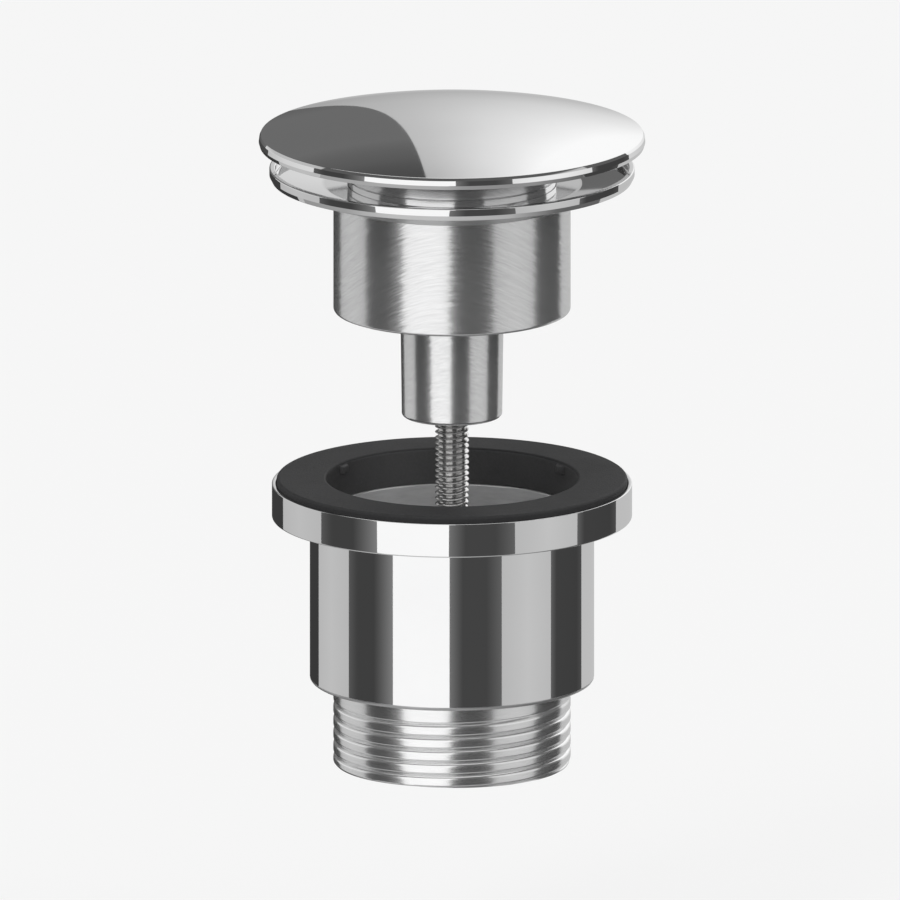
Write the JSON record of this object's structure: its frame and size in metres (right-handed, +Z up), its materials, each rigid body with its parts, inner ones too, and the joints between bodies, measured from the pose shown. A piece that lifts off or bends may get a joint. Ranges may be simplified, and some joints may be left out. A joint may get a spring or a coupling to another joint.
{
  "type": "pop up basin waste",
  "caption": "Click-clack basin waste: domed plug over a flanged sleeve, joined by a long screw to a threaded lower body with a rubber gasket.",
  "frame": {"origin": "on the axis of the waste, at the open lower end of the threaded tail", "axes": "+Z up along the axis towards the domed plug; +X along the crossbar in the tail; the viewer of the picture stands at -Y"},
  "size_m": [0.0682, 0.0682, 0.1183],
  "materials": {
    "polished_chrome": "polished",
    "brushed_chrome": "satin",
    "stainless_steel": "bright",
    "plunger_brass": "machined",
    "gasket_rubber": "matte",
    "seal_rubber": "matte",
    "cartridge_plastic": "matte",
    "cam_plastic": "matte"
  },
  "bodies": {
    "lower_half": {"lower_body": "polished_chrome", "rubber_gasket": "gasket_rubber"},
    "insert": {"flange_dish": "polished_chrome", "sleeve_casting": "brushed_chrome", "screw_washer": "stainless_steel", "collar_seal": "seal_rubber", "cartridge_housing": "cartridge_plastic", "cartridge_liner": "cartridge_plastic", "cartridge_base": "cartridge_plastic", "retaining_clip": "stainless_steel", "cartridge_spring": "stainless_steel"},
    "clamp_screw": {"clamp_screw": "stainless_steel"},
    "cam_ring": {"cam_ring": "cam_plastic"},
    "plug": {"plunger": "plunger_brass", "plug_hub": "brushed_chrome", "plug_seal": "seal_rubber", "spring_washer": "stainless_steel", "hub_nut": "stainless_steel", "cap_plate": "brushed_chrome", "dome_cap": "polished_chrome"}
  },
  "joints": [
    {"name": "insert_slide", "type": "slide", "parent": "lower_half", "child": "insert", "axis": [0, 0, -1], "range_m": [0, 0.044]},
    {"name": "screw_turn", "type": "hinge", "parent": "insert", "child": "clamp_screw", "pos_m": [0, 0, 0.0669], "axis": [0, 0, -1], "range_deg": [0, 15840]},
    {"name": "plug_lift", "type": "slide", "parent": "insert", "child": "plug", "axis": [0, 0, 1], "range_m": [0, 0.008], "deforming": ["cartridge_spring"]},
    {"name": "cam_turn", "type": "hinge", "parent": "insert", "child": "cam_ring", "pos_m": [0, 0, 0.0879], "axis": [0, 0, 1], "range_deg": [0, 45]}
  ],
  "couplings": [
    {"joint": "screw_turn", "follows": "insert_slide", "rad_per_m": 6283.2},
    {"joint": "cam_turn", "follows": "plug_lift", "rad_per_m": 98.175}
  ]
}
